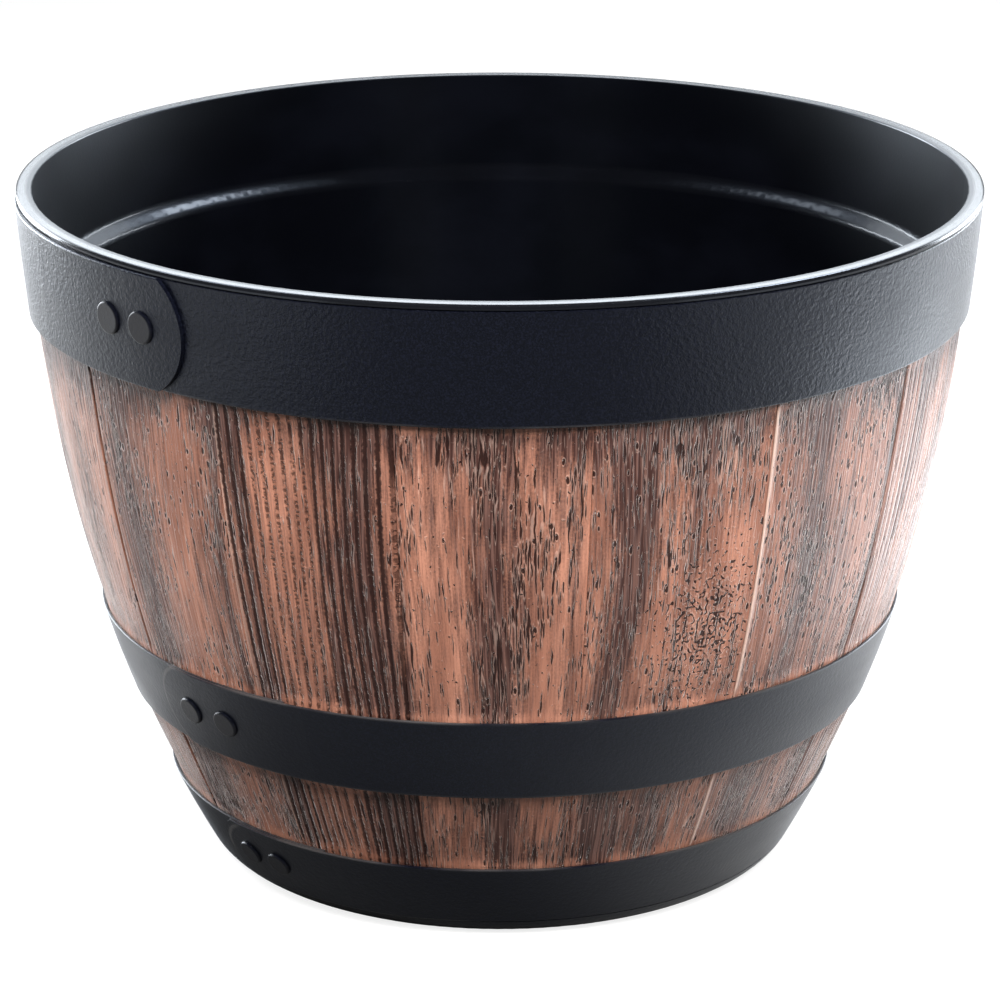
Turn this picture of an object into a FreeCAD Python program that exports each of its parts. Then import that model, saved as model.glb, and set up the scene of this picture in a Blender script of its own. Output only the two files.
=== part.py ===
"""Round barrel planter: hooped staves round a lift-out liner pot with a drain plug.

Millimetres. The planter stands on z = 0, the barrel's axis is Z, and the front is -Y.
Angles are degrees round the barrel from the front, growing towards +X.
"""
import FreeCAD, Part
import math
import os

# Overall size
HEIGHT = 216.0             # floor to the crest of the lip
LIP_DIAMETER = 300.0       # outside of the lip

# Outside of the staves: a smooth curve from floor to lip, given by its ends
FLOOR_RADIUS = 91.7        # where the curve meets the floor
FLOOR_FLARE = 29.2         # degrees that the wall leans out there
CREST_FLARE = 4.0          # degrees that it leans out at the height of the lip

# Staves
STAVE_COUNT = 16
STAVE_THICKNESS = 5.0      # measured level, as are all wall thicknesses
FRONT_STAVE_ANGLE = -0.75  # middle of the stave nearest the front
SEAM_GAP = 0.2             # between neighbours, at the lip
SEAM_BEVEL = 0.9           # on each stave's two outer long edges
TONGUE_THICKNESS = 1.5     # stave above the rabbet that carries the liner
RABBET_HEIGHT = 181.0      # floor to the rabbet
STAVE_FOOT_BEVEL = 1.0     # outer edge of a stave's foot

# Bottom head, held in a groove in the staves
HEAD_HEIGHT = 10.0         # floor to its underside
HEAD_THICKNESS = 5.0
HEAD_GROOVE_DEPTH = 2.0
HEAD_HOLE_DIAMETER = 30.0  # round the drain plug
SEEP_HOLE_COUNT = 6
SEEP_HOLE_DIAMETER = 8.0
SEEP_HOLE_CIRCLE = 110.0   # diameter of the circle that they lie on

# Hoops
TOP_HOOP_LOW = 179.3
TOP_HOOP_STRAP = 1.3       # thickness
MIDDLE_HOOP_LOW = 55.9
MIDDLE_HOOP_HIGH = 83.2
MIDDLE_HOOP_STRAP = 0.9
BASE_HOOP_HIGH = 27.5
BASE_HOOP_STRAP = 1.1
HOOP_EDGE_ROUND = 0.5      # outer edges of each strap
FOOT_ROUND_HEIGHT = 5.5    # height of the rounding under the base hoop
FOOT_SEAT_HEIGHT = 4.0     # floor to the staves' feet
FOOT_WIDTH = 20.0          # foot rim, in from the curve's foot

# Lapped ends of the hoops
TOP_TAB_TIP = -37.0        # the top hoop's round tab points right
LOWER_TAB_TIP = -55.2      # the other two point left
LAP_SPAN = 28.0            # from a tab's tip back to where the strap steps out
LAP_STEP_ARC = 15.0        # each of the two arcs of that step
LAP_END_GAP = 3.0          # from the step to the hidden end of the strap
TAB_ROUND = 1.2            # radius of a tab's round end, in half widths of its strap
TOP_LAP_RISE = 1.3         # the top lap's tab and rivets, above the middle of the strap
LOWER_LAP_RISE = 0.0       # and those of the other two

# Rivets, two through each lap
TOP_RIVET_ANGLES = (-48.8, -43.2)
LOWER_RIVET_ANGLES = (-48.7, -41.5)
RIVET_SHANK_DIAMETER = 4.0
RIVET_HEAD_HEIGHT = 0.9
RIVET_RIM_ROUND = 0.7      # round the rim of the head
TOP_RIVET_DIAMETER = 10.0
MIDDLE_RIVET_DIAMETER = 9.0
BASE_RIVET_DIAMETER = 8.5

# Liner pot
LINER_WALL = 1.8
LINER_FLOOR = 2.4          # thickness
LINER_CORNER_HEIGHT = 9.0  # rounding between wall and floor
LIP_HEIGHT = 1.5
LIP_OUTER_ROUND = 1.0
LIP_INNER_ROUND = 0.6
SHOULDER_BELOW = 1.5       # where the shoulder's inside starts, below the rabbet
SHOULDER_ABOVE = 4.5       # and where it ends, above the rabbet

# Drain plug
DRAIN_DIAMETER = 20.0      # hole in the liner's floor
PLUG_DEPTH = 10.0          # stem below the flange
PLUG_STEM_TAPER = 0.8      # narrowing of the stem's radius
PLUG_FLANGE_DIAMETER = 32.0
PLUG_FLANGE_THICKNESS = 2.5
PLUG_KNOB_DIAMETER = 14.0
PLUG_KNOB_HEIGHT = 10.0    # above the flange
PLUG_NECK_DIAMETER = 8.0
PLUG_EDGE_ROUND = 1.0

# Fits
HOOP_CLEARANCE = 0.15      # hoop to stave, and strap to strap in a lap
HEAD_CLEARANCE = 0.2       # head in its groove
LINER_CLEARANCE = 0.3      # liner to stave
LINER_FLOOR_CLEARANCE = 0.5
LIP_CLEARANCE = 0.3        # shadow line between lip and barrel
PLUG_CLEARANCE = 0.3       # stem in the liner's hole
RIVET_CLEARANCE = 0.05     # shank in the straps' holes

ORIGIN = FreeCAD.Vector(0, 0, 0)
UP = FreeCAD.Vector(0, 0, 1)
FRONT_TO_X = -90.0         # sections are drawn over +X, which is 90 degrees from the front

# Worked out: the top hoop's outside runs up into the outside of the lip
CREST_RADIUS = LIP_DIAMETER / 2 - TOP_HOOP_STRAP - HOOP_CLEARANCE
STAVE_TOP = HEIGHT - LIP_HEIGHT - LIP_CLEARANCE
LINER_FLOOR_LOW = HEAD_HEIGHT + HEAD_THICKNESS + LINER_FLOOR_CLEARANCE
LINER_FLOOR_TOP = LINER_FLOOR_LOW + LINER_FLOOR


def barrel_radius(height):
    """Outer radius of the staves at a height: a cubic with the given ends and slopes."""
    share = height / HEIGHT
    low_slope = HEIGHT * math.tan(math.radians(FLOOR_FLARE))
    high_slope = HEIGHT * math.tan(math.radians(CREST_FLARE))
    rise = CREST_RADIUS - FLOOR_RADIUS
    square = 3 * rise - 2 * low_slope - high_slope
    cube = low_slope + high_slope - 2 * rise
    return FLOOR_RADIUS + share * (low_slope + share * (square + share * cube))


def barrel_slope(height):
    """Outward run of the staves' outside for each millimetre of height."""
    share = height / HEIGHT
    low_slope = math.tan(math.radians(FLOOR_FLARE))
    high_slope = math.tan(math.radians(CREST_FLARE))
    rise = (CREST_RADIUS - FLOOR_RADIUS) / HEIGHT
    square = 3 * rise - 2 * low_slope - high_slope
    cube = low_slope + high_slope - 2 * rise
    return low_slope + share * (2 * square + 3 * share * cube)


def spot(radius, height):
    """A point of a section."""
    return FreeCAD.Vector(radius, 0, height)


def wall(offset, start, end):
    """Poles of the barrel curve, moved outwards by offset, between two heights."""
    third = (end - start) / 3
    first = barrel_radius(start) + offset
    last = barrel_radius(end) + offset
    return [
        spot(first, start),
        spot(first + third * barrel_slope(start), start + third),
        spot(last - third * barrel_slope(end), end - third),
        spot(last, end),
    ]


def foot_bend(offset, top, floor):
    """Poles of the rounding from the barrel curve at top in to a level floor, even on both sides."""
    start = spot(barrel_radius(top) + offset, top)
    corner = spot(start.x - barrel_slope(top) * (top - floor), floor)
    return [start, corner, spot(corner.x - start.distanceToPoint(corner), floor)]


def section(*runs):
    """A flat face bounded by runs of curve poles, joined by straight lines in order."""
    edges = []
    for run, following in zip(runs, runs[1:] + runs[:1]):
        if len(run) > 1:
            curve = Part.BezierCurve()
            curve.setPoles(run)
            edges.append(curve.toShape())
        if not run[-1].isEqual(following[0], 1e-6):
            edges.append(Part.makeLine(run[-1], following[0]))
    return Part.Face(Part.Wire(edges))


def outward(angle):
    """Level unit vector from the axis towards an angle round the barrel."""
    turn = math.radians(angle)
    return FreeCAD.Vector(math.sin(turn), -math.cos(turn), 0)


def facing(angle):
    """Rotation that brings a section from over +X to an angle round the barrel."""
    return FreeCAD.Placement(ORIGIN, FreeCAD.Rotation(UP, angle + FRONT_TO_X))


def placed(shape, placement):
    """A copy of a shape, moved by a placement."""
    copy = shape.copy()
    copy.Placement = placement.multiply(copy.Placement)
    return copy


def ring(face):
    """A section turned all the way round."""
    return face.revolve(ORIGIN, UP, 360)


def make_stave():
    """One stave, centred over +X."""
    groove_low = HEAD_HEIGHT - HEAD_CLEARANCE
    groove_top = HEAD_HEIGHT + HEAD_THICKNESS + HEAD_CLEARANCE
    foot = FOOT_SEAT_HEIGHT
    face = section(
        wall(0, foot + STAVE_FOOT_BEVEL, STAVE_TOP),
        wall(-TONGUE_THICKNESS, STAVE_TOP, RABBET_HEIGHT),
        wall(-STAVE_THICKNESS, RABBET_HEIGHT, groove_top),
        wall(HEAD_GROOVE_DEPTH - STAVE_THICKNESS, groove_top, groove_low),
        wall(-STAVE_THICKNESS, groove_low, foot),
        [spot(barrel_radius(foot) - STAVE_FOOT_BEVEL, foot)],
    )
    width = 360 / STAVE_COUNT - math.degrees(SEAM_GAP / CREST_RADIUS)
    face.rotate(ORIGIN, UP, -width / 2)
    stave = face.revolve(ORIGIN, UP, width)
    return stave.makeChamfer(SEAM_BEVEL, outer_long_edges(stave))


def outer_long_edges(stave):
    """The two edges of a stave that run up its outside."""
    found = []
    for edge in stave.Edges:
        middle = edge.valueAt((edge.FirstParameter + edge.LastParameter) / 2)
        radius = math.hypot(middle.x, middle.y)
        tall = edge.BoundBox.ZLength > HEIGHT / 2
        if tall and abs(radius - barrel_radius(middle.z)) < SEAM_GAP:
            found.append(edge)
    return found


def make_staves():
    """All staves by name, from the front one round towards +X."""
    stave = make_stave()
    staves = {}
    for place in range(STAVE_COUNT):
        angle = FRONT_STAVE_ANGLE + place * 360 / STAVE_COUNT
        staves[f"stave_{place + 1:02d}"] = placed(stave, facing(angle))
    return staves


def make_head():
    """Bottom head with a bevelled edge, a hole round the plug and a circle of seep holes."""
    top = HEAD_HEIGHT + HEAD_THICKNESS
    edge = HEAD_GROOVE_DEPTH - HEAD_CLEARANCE - STAVE_THICKNESS
    hole = HEAD_HOLE_DIAMETER / 2
    head = ring(section(
        wall(edge, HEAD_HEIGHT, top),
        [spot(hole, top)],
        [spot(hole, HEAD_HEIGHT)],
    ))
    for place in range(SEEP_HOLE_COUNT):
        centre = outward(place * 360 / SEEP_HOLE_COUNT) * (SEEP_HOLE_CIRCLE / 2)
        head = head.cut(Part.makeCylinder(SEEP_HOLE_DIAMETER / 2, top + HEAD_THICKNESS, centre))
    return head


def strap_section(low, high, strap):
    """Section of a hoop's strap, lying on the staves, with its outer edges rounded."""
    inner = HOOP_CLEARANCE
    outer = HOOP_CLEARANCE + strap
    edge = min(HOOP_EDGE_ROUND, strap / 2)
    low_corner = spot(barrel_radius(low) + outer, low)
    high_corner = spot(barrel_radius(high) + outer, high)
    outside = wall(outer, low + edge, high - edge)
    return section(
        outside,
        [outside[-1], high_corner, high_corner - spot(edge, 0)],
        wall(inner, high, low),
        [low_corner - spot(edge, 0), low_corner, outside[0]],
    )


def skin_direction(angle, height):
    """Outward normal of the barrel."""
    lean = FreeCAD.Vector(0, 0, -barrel_slope(height))
    return (outward(angle) + lean).normalize()


def skin_point(angle, height, offset):
    """A point over the barrel's outside."""
    return outward(angle) * (barrel_radius(height) + offset) + UP * height


def make_hoop(low, high, strap, lap_rise, rivet_angles, tab_tip, way):
    """A strap once round the barrel whose end steps out over its start and ends in a round tab.

    way is 1 for a tab that points towards growing angles, and -1 for the other way.
    """
    step = strap + HOOP_CLEARANCE
    step_end = tab_tip - way * LAP_SPAN
    step_start = step_end - way * 2 * LAP_STEP_ARC
    hidden_end = step_end + way * LAP_END_GAP
    face = strap_section(low, high, strap)

    once_round = 360 - 2 * LAP_STEP_ARC - LAP_END_GAP
    pieces = [placed(face, facing(hidden_end)).revolve(ORIGIN, UP, way * once_round)]

    # The step is two equal arcs: one about a centre behind the axis, then one about a centre before it
    turn = way * LAP_STEP_ARC
    back = step / (2 * (1 - math.cos(math.radians(LAP_STEP_ARC))))
    forward = 2 * back * math.cos(math.radians(LAP_STEP_ARC))
    first_centre = outward(step_start) * -back
    second_centre = first_centre + outward(step_start + turn) * forward
    start_face = placed(face, facing(step_start))
    middle_face = start_face.rotated(first_centre, UP, turn)
    end_face = middle_face.rotated(second_centre, UP, turn)
    pieces.append(start_face.revolve(first_centre, UP, turn))
    pieces.append(middle_face.revolve(second_centre, UP, turn))

    # Flat of the lap, then the round end of the tab
    height = (low + high) / 2 + lap_rise
    tab_radius = TAB_ROUND * math.hypot(1, barrel_slope(height)) * (high - low) / 2
    tab_turn = math.degrees(tab_radius / barrel_radius(height))
    tab_angle = tab_tip - way * tab_turn
    pieces.append(end_face.revolve(ORIGIN, UP, tab_angle - step_end))
    tab_face = end_face.rotated(ORIGIN, UP, tab_angle - step_end)
    tab_end = tab_face.revolve(ORIGIN, UP, way * 2 * tab_turn)
    reach = 2 * tab_radius
    normal = skin_direction(tab_angle, height)
    middle = skin_point(tab_angle, height, step)
    rounding = Part.makeCylinder(tab_radius, reach, middle - normal * (reach / 2), normal)
    pieces.append(tab_end.common(rounding))

    hoop = pieces[0].multiFuse(pieces[1:])
    for angle in rivet_angles:
        normal = skin_direction(angle, height)
        start = skin_point(angle, height, 2 * step) - normal * (3 * step)
        hole_radius = RIVET_SHANK_DIAMETER / 2 + RIVET_CLEARANCE
        hoop = hoop.cut(Part.makeCylinder(hole_radius, 6 * step, start, normal))
    return hoop.Solids[0]


def make_rivets(low, high, strap, lap_rise, rivet_angles, head_diameter):
    """The two rivets of a hoop's lap: low flat heads, and shanks flush inside the hidden strap."""
    height = (low + high) / 2 + lap_rise
    skin = 2 * (strap + HOOP_CLEARANCE)
    edge = RIVET_RIM_ROUND
    head = head_diameter / 2
    shank = RIVET_SHANK_DIAMETER / 2
    lean = math.hypot(1, barrel_slope(height))
    tail = RIVET_CLEARANCE - (skin - HOOP_CLEARANCE) / lean
    face = section(
        [spot(0, RIVET_HEAD_HEIGHT), spot(head - edge, RIVET_HEAD_HEIGHT)],
        [spot(head - edge, RIVET_HEAD_HEIGHT), spot(head, RIVET_HEAD_HEIGHT), spot(head, 0)],
        [spot(shank, 0), spot(shank, tail)],
        [spot(0, tail)],
    )
    rivet = ring(face)
    rivets = []
    for angle in rivet_angles:
        turn = FreeCAD.Rotation(UP, skin_direction(angle, height))
        rivets.append(placed(rivet, FreeCAD.Placement(skin_point(angle, height, skin), turn)))
    return Part.makeCompound(rivets)


def add_foot_rim(hoop):
    """The lowest hoop, given the foot rim that the staves stand on."""
    outer = HOOP_CLEARANCE + BASE_HOOP_STRAP
    inside = FLOOR_RADIUS - FOOT_WIDTH
    seat = barrel_radius(FOOT_SEAT_HEIGHT) + HOOP_CLEARANCE
    rim = ring(section(
        foot_bend(outer, FOOT_ROUND_HEIGHT, 0),
        [spot(inside, 0)],
        [spot(inside, FOOT_SEAT_HEIGHT)],
        [spot(seat, FOOT_SEAT_HEIGHT)],
        wall(HOOP_CLEARANCE, FOOT_SEAT_HEIGHT, FOOT_ROUND_HEIGHT),
    ))
    return hoop.fuse(rim).Solids[0]


def make_liner():
    """Pot with a rounded lip, a collar, a shoulder that rests in the staves' rabbet, and a drain hole."""
    collar_out = -TONGUE_THICKNESS - LINER_CLEARANCE
    collar_in = collar_out - LINER_WALL
    wall_out = -STAVE_THICKNESS - LINER_CLEARANCE
    wall_in = wall_out - LINER_WALL
    corner_in = LINER_FLOOR_TOP + LINER_CORNER_HEIGHT
    corner_out = LINER_FLOOR_LOW + LINER_CORNER_HEIGHT
    lip_low = HEIGHT - LIP_HEIGHT
    lip_radius = LIP_DIAMETER / 2
    shoulder_low = RABBET_HEIGHT - SHOULDER_BELOW
    shoulder_high = RABBET_HEIGHT + SHOULDER_ABOVE
    half_rise = (shoulder_high - shoulder_low) / 2
    low_end = spot(barrel_radius(shoulder_low) + wall_in, shoulder_low)
    high_end = spot(barrel_radius(shoulder_high) + collar_in, shoulder_high)
    collar = wall(collar_in, shoulder_high, HEIGHT - LIP_INNER_ROUND)
    inner_corner = spot(barrel_radius(HEIGHT) + collar_in, HEIGHT)
    outer_corner = spot(lip_radius, HEIGHT)
    return ring(section(
        [spot(DRAIN_DIAMETER / 2, LINER_FLOOR_LOW), spot(DRAIN_DIAMETER / 2, LINER_FLOOR_TOP)],
        foot_bend(wall_in, corner_in, LINER_FLOOR_TOP)[::-1],
        wall(wall_in, corner_in, shoulder_low),
        [low_end, low_end + UP * half_rise, high_end - UP * half_rise, high_end],
        collar,
        [collar[-1], inner_corner, inner_corner + spot(LIP_INNER_ROUND, 0)],
        [outer_corner - spot(LIP_OUTER_ROUND, 0), outer_corner, outer_corner - UP * LIP_OUTER_ROUND],
        [spot(lip_radius, lip_low)],
        wall(collar_out, lip_low, RABBET_HEIGHT),
        wall(wall_out, RABBET_HEIGHT, corner_out),
        foot_bend(wall_out, corner_out, LINER_FLOOR_LOW),
    ))


def make_plug():
    """Soft drain plug: a tapered stem, a flange that rests on the liner's floor, and a knob to pull."""
    seat = LINER_FLOOR_TOP
    flange_top = seat + PLUG_FLANGE_THICKNESS
    top = flange_top + PLUG_KNOB_HEIGHT
    stem = DRAIN_DIAMETER / 2 - PLUG_CLEARANCE
    flange = PLUG_FLANGE_DIAMETER / 2
    neck = PLUG_NECK_DIAMETER / 2
    knob = PLUG_KNOB_DIAMETER / 2
    knob_low = flange_top + PLUG_KNOB_HEIGHT / 2
    edge = PLUG_EDGE_ROUND
    return ring(section(
        [spot(0, seat - PLUG_DEPTH), spot(stem - PLUG_STEM_TAPER, seat - PLUG_DEPTH)],
        [spot(stem, seat)],
        [spot(flange, seat)],
        [spot(flange, flange_top - edge), spot(flange, flange_top), spot(flange - edge, flange_top)],
        [spot(neck, flange_top), spot(neck, knob_low), spot(knob, knob_low)],
        [spot(knob, top - edge), spot(knob, top), spot(knob - edge, top)],
        [spot(0, top)],
    ))


def make_parts():
    """Every piece of the planter by name."""
    top_lap = (TOP_LAP_RISE, TOP_RIVET_ANGLES)
    lower_lap = (LOWER_LAP_RISE, LOWER_RIVET_ANGLES)
    top = (TOP_HOOP_LOW, STAVE_TOP, TOP_HOOP_STRAP, *top_lap)
    middle = (MIDDLE_HOOP_LOW, MIDDLE_HOOP_HIGH, MIDDLE_HOOP_STRAP, *lower_lap)
    base = (FOOT_ROUND_HEIGHT, BASE_HOOP_HIGH, BASE_HOOP_STRAP, *lower_lap)
    parts = make_staves()
    parts["bottom_head"] = make_head()
    parts["top_hoop"] = make_hoop(*top, TOP_TAB_TIP, 1)
    parts["middle_hoop"] = make_hoop(*middle, LOWER_TAB_TIP, -1)
    parts["base_hoop"] = add_foot_rim(make_hoop(*base, LOWER_TAB_TIP, -1))
    parts["top_hoop_rivets"] = make_rivets(*top, TOP_RIVET_DIAMETER)
    parts["middle_hoop_rivets"] = make_rivets(*middle, MIDDLE_RIVET_DIAMETER)
    parts["base_hoop_rivets"] = make_rivets(*base, BASE_RIVET_DIAMETER)
    parts["liner_pot"] = make_liner()
    parts["drain_plug"] = make_plug()
    return parts


os.makedirs("parts", exist_ok=True)
for name, shape in make_parts().items():
    shape.exportStep(f"parts/{name}.step")
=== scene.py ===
"""Round barrel planter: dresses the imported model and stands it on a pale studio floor.

Metres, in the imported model's own frame: the planter stands on z = 0 round the Z axis, and its front
is -Y. Angles are degrees round the barrel from the front, growing towards +X.
"""
import math
from collections import namedtuple

import bmesh
import bpy
import numpy as np
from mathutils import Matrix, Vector


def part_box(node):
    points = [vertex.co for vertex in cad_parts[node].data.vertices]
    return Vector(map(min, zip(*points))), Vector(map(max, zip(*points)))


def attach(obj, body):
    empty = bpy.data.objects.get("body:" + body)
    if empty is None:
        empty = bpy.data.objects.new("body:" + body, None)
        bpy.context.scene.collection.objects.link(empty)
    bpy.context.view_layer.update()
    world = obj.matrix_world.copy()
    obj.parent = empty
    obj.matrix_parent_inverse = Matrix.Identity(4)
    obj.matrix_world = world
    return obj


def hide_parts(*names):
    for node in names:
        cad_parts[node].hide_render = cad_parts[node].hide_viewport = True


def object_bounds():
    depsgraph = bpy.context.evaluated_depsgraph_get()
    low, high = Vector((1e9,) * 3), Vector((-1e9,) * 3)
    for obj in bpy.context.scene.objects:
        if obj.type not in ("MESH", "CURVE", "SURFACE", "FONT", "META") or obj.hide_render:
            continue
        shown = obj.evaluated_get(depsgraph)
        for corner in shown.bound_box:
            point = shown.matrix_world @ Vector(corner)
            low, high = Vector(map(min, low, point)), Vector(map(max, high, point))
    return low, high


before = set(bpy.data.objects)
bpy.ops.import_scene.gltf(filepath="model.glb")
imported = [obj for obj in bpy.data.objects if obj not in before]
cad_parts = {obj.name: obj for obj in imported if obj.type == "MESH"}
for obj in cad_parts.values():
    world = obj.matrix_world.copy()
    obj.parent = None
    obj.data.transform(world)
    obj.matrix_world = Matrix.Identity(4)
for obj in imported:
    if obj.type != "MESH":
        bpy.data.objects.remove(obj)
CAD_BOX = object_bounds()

bl_info = {
    "name": "Round barrel planter",
    "version": (1, 0, 0),
    "blender": (4, 5, 0),
    "location": "View3D > Sidebar > Planter",
    "description": "Dresses a hooped barrel planter in moulded wood and charcoal, on a studio stage",
    "category": "Object",
}

MM = 0.001


def heights(name):
    """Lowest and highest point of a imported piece."""
    low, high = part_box(name)
    return low.z, high.z


# Outside of the staves: a smooth curve from floor to lip, given by its ends
HEIGHT = CAD_BOX[1].z
LIP_RADIUS = CAD_BOX[1].x
LIP_HEIGHT = 1.5 * MM
LIP_OVERHANG = 1.45 * MM       # of the lip, past the top of the curve
LIP_SHINE = (4.0 * MM, 2.5 * MM)   # in from the lip's edge, where its finish starts and is whole
LIP_BLEND = 2.0 * MM           # below the lip, where its finish starts
FLOOR_RADIUS = 91.7 * MM
CREST_RADIUS = LIP_RADIUS - LIP_OVERHANG
FLOOR_FLARE = math.radians(29.2)
CREST_FLARE = math.radians(4.0)

# Hoops, low edge and high edge
TOP_HOOP = heights("top_hoop")
MIDDLE_HOOP = heights("middle_hoop")
BASE_HOOP = heights("base_hoop")
HOOPS = (TOP_HOOP, MIDDLE_HOOP, BASE_HOOP)
LOWER_TAB_TIP = -55.2          # degrees, where the round tabs of the middle and base hoops end
TAB_ROUND = 1.2                # radius of a tab's round end, in half widths of its strap
TAB_HIGHLIGHT = (1.0 * MM, 0.2 * MM)     # beside a tab's edge, where its painted highlight starts and is whole
TAB_END = (0.2, 0.6)           # the same towards the tip, in radii of the round end
LOWER_PEBBLE_SHARE = 0.4       # depth of the lower hoops' texture, as a share of the top hoop's

# Staves
STAVE_COUNT = 16
FRONT_STAVE_ANGLE = -0.75
SEAM_GAP = 0.08 * MM
STAVE_THICKNESS = 5.0 * MM
TONGUE_THICKNESS = 1.5 * MM
RABBET_HEIGHT = 181.0 * MM
STAVE_FOOT, STAVE_TOP = heights("stave_01")
FOOT_BEVEL = 1.0 * MM
HEAD = heights("bottom_head")
HEAD_CLEARANCE = 0.2 * MM
GROOVE_LOW = HEAD[0] - HEAD_CLEARANCE
GROOVE_TOP = HEAD[1] + HEAD_CLEARANCE
GROOVE_DEPTH = 2.0 * MM

# Stave mesh: fine where it shows between the hoops, coarse behind them
COLUMNS = 60
FINE_STEP = 2.6 * MM
COARSE_STEP = 8.0 * MM
TUCK = 1.5 * MM                # how far the fine part runs in behind a hoop
RELIEF_FADE = 3.0 * MM         # before a hoop, where the relief runs out
INNER_COLUMNS = 6
INNER_STEP = 35.0 * MM
SHARP_ANGLE = math.radians(40)

# How one stave is figured. glaze holds dark bands as (place, spread, strength), places and spreads in
# half widths of the stave from its middle. The rest are shares: ruled lines, pores, a burl, and spots
Board = namedtuple("Board", "glaze lines pores burl spots")
RULED = Board(((-0.86, 0.16, 0.70), (0.66, 0.30, 0.85), (0.20, 0.10, 0.30)), 1.0, 0.05, 0.0, 0.0)
CLEAR = Board(((-1.02, 0.10, 0.55), (0.06, 0.28, 0.95), (0.94, 0.05, 0.50)), 0.0, 0.56, 0.0, 0.04)
BURLED = Board(((-0.61, 0.22, 1.20), (0.10, 0.16, 0.35), (0.60, 0.30, -0.15)), 0.0, 0.68, 1.0, 0.12)
GREYED = Board(((-0.34, 0.27, 0.75), (0.97, 0.07, 0.90), (0.30, 0.12, 0.10)), 0.0, 0.42, 0.0, 0.50)
PLAIN = Board(((-0.60, 0.25, 1.00), (0.98, 0.06, 0.70), (0.25, 0.40, -0.22)), 0.0, 0.32, 0.0, 0.25)
STREAKED = Board(((-0.92, 0.12, 0.90), (-0.20, 0.18, 0.55), (0.55, 0.14, 0.60)), 0.4, 0.35, 0.0, 0.0)
LINED = Board(((-0.45, 0.20, 0.30), (0.60, 0.20, 0.50)), 0.8, 0.05, 0.0, 0.0)
PALE = Board(((0.10, 0.20, 0.25), (-0.80, 0.15, 0.60)), 0.0, 0.30, 0.0, 0.10)
BOARDS = (
    CLEAR, BURLED, GREYED, LINED, PLAIN, RULED, CLEAR, GREYED,
    BURLED, PLAIN, STREAKED, RULED, CLEAR, PALE, PLAIN, RULED,
)
BURL_PLACE = (0.45, 110.0 * MM)    # in half widths from a stave's middle, and height
BURL_SPREAD = (0.62, 27.0 * MM)
RIDGED = {3: 0.55 * MM, 16: 0.25 * MM}   # staves whose left edge stands proud, and how far
RIDGE_WIDTH = 2.2 * MM
GROOVED = {4: 0.7 * MM, 8: 0.5 * MM, 12: 0.6 * MM, 15: 0.7 * MM}   # the same, cut low
GROOVE_WIDTH = 2.0 * MM
SEAM_SHOW = 3.0                # how strongly wear with a painted highlight, and stain, show for the slope of a seam
FLATNESS = 0.6 * MM            # how far a stave's middle lies inside the round barrel
LINE_FORM = (-0.2, 0.8)        # a ruled line is a wave from -1 to 1, cut off at these levels
MASK_LIMIT = 1.4               # a glaze over 1 stays dark through the streaks
FIGURE_APART = 37.0            # from one stave to the next in the noises, so that no two look alike
# Figure of a stave's inside, which no copper was brushed on
BARE_INSIDE = {"glaze": 0.72, "pores": 0.35}

# Smooth unevenness of a stave: its strength, and the size of its waves across and along the stave
Waves = namedtuple("Waves", "strength across along")
GRAIN_WANDER = Waves(1.1 * MM, 40.0 * MM, 130.0 * MM)
BAND_DRIFT = Waves(0.10, 200.0 * MM, 120.0 * MM)   # in half widths of the stave
GLAZE_CLOUDS = Waves(1.0, 26.0 * MM, 110.0 * MM)
PORE_PATCHES = Waves(0.7, 30.0 * MM, 60.0 * MM)
BROAD_SWELL = Waves(0.5, 22.0 * MM, 70.0 * MM)
WAVE_COUNT = 7
WAVE_RANGE = 1.2               # at most this many waves in the length of their size

# Shares of dark glaze and how far they reach: all over, in clouds, and beside the hoops. Beside the
# hoops it is partly painted shade
GLAZE_ALL_OVER = 0.30
GLAZE_IN_CLOUDS = 0.18
# Under the top hoop: glaze and painted shade
GLAZE_AND_SHADE_UNDER_TOP = 0.80
GLAZE_AND_SHADE_CLOUDS_UNDER_TOP = 0.30
UNDER_TOP_REACH = 12.0 * MM
# Above the middle hoop: painted shade
SHADE_ABOVE_MIDDLE = 0.25
ABOVE_MIDDLE_REACH = 7.0 * MM
# Below the middle hoop: glaze and painted shade of the lower band, which faces down
GLAZE_AND_SHADE_BELOW_MIDDLE = 0.22
GLAZE_RUBBED_OFF = 1.0         # along the hoops' edges
RUBBED_REACH = 1.4 * MM

# Shares of pores and spots
PORES_OFF_PATCHES = 0.1        # of a board's pores, where it has no patch of them
SPOTS_OFF_PATCHES = 0.3
PORES_IN_GLAZE = 0.25
PORES_LOST_IN_BURL = 0.5
MOST_PORES = 0.65
MOST_CURLS = 0.66

# Sizes in the wood's finish, in millimetres across and along the grain
STREAKS = (1.0, 16.0)
SPECKLE = (0.55, 0.9)
FINGERS = (3.2, 70.0)
CLOUDS = (9.0, 42.0)
THIN_STREAKS = (0.8, 24.0)
SHIVER = (2.5, 6.0)
JAGS = (1.2, 1.6)
DOTS = (1.5, 1.3)
PORE_ROWS = (3.4, 32.0)
DASH_CELL = (0.72, 8.2)
SPOT_CELL = (1.5, 3.4)
SHIVER_REACH = 1.1             # millimetres that pores lean to and fro
JAG_REACH = 1.1                # millimetres that ruled lines do
PORE_SHIFT = 2.0               # across the grain, for each step apart in the noises
GRAIN_DEPTH = 0.45 * MM

# Marks along a noise's contours: sizes of the noise and of the gaps, and the marks' width in the noise
Marks = namedtuple("Marks", "wave gap width")
LONG_MARKS = Marks((1.9, 34.0), (1.1, 13.0), 0.038)
CURLS = Marks((2.3, 2.8), (1.4, 1.4), 0.080)
GAP_DETAIL = 0.0
WAVE_DETAIL = 0.4
FILLED_GAPS = 0.5              # added to the noise of the gaps by a whole share of marks
DASH_RADIUS = (0.18, 0.22)     # in cells, the least and what chance adds

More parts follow.
